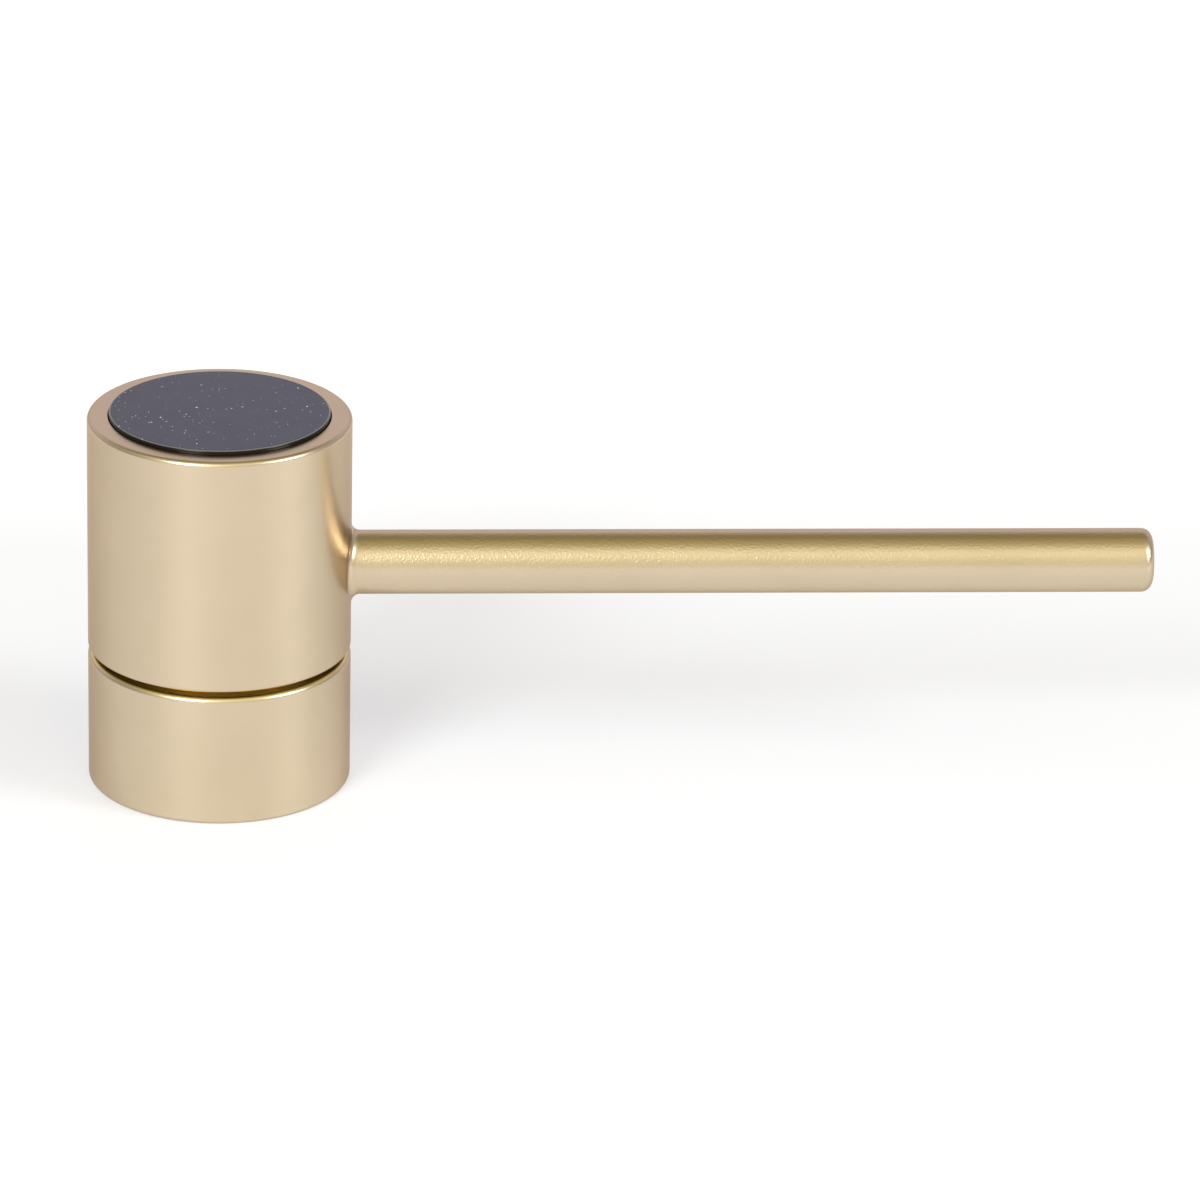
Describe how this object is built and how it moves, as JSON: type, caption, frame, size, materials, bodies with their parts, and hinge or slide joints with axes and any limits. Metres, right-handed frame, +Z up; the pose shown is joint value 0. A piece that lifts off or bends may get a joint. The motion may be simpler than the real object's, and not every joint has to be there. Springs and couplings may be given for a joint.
{
  "type": "pin-lever tap control",
  "caption": "Drum-shaped tap control with a long round side lever, a dark stone disc set in its top and a fixed collar below a shadow gap, turning a quarter turn over a ceramic cartridge.",
  "frame": {"origin": "on the turning axis, at the mouth of the collar's threaded bore, on the deck plane", "axes": "+Z up along the turning axis, +X along the lever at rest, so -Y is the front"},
  "size_m": [0.1461, 0.036, 0.0534],
  "materials": {
    "champagne_metal": "satin champagne gold coating over fine blasted brass",
    "inlay_stone": "polished black stone with fine mica sparkle",
    "raw_brass": "turned brass, uncoated",
    "steel": "plain stainless steel",
    "cartridge_plastic": "moulded white plastic",
    "guide_plastic": "natural acetal",
    "plug_plastic": "moulded plastic in the colour of the metal",
    "ceramic": "lapped alumina",
    "rubber": "black nitrile rubber",
    "adhesive": "clear adhesive layer"
  },
  "bodies": {
    "base": {"base_collar": "champagne_metal", "deck_gasket": "rubber", "cartridge_housing": "cartridge_plastic", "cartridge_base": "cartridge_plastic", "port_seal_1": "rubber", "port_seal_2": "rubber", "port_seal_3": "rubber", "fixed_ceramic_disc": "ceramic", "cartridge_nut": "raw_brass", "guide_ring": "raw_brass"},
    "lever": {"lever_hub": "champagne_metal", "lever_rod": "champagne_metal", "lever_stud": "steel", "inlay_disc": "inlay_stone", "inlay_bond": "adhesive", "spline_adapter": "guide_plastic", "adapter_screw": "steel", "grub_screw": "steel", "grub_plug": "plug_plastic", "spindle": "raw_brass", "spindle_o_ring_lower": "rubber", "spindle_o_ring_upper": "rubber", "spindle_circlip": "steel", "stop_ring": "raw_brass", "disc_driver": "cartridge_plastic", "moving_ceramic_disc": "ceramic"}
  },
  "joints": [
    {"name": "lever_turn", "type": "hinge", "parent": "base", "child": "lever", "pos_m": [0, 0, 0.0312], "axis": [0, 0, 1], "range_deg": [-90, 0]}
  ]
}
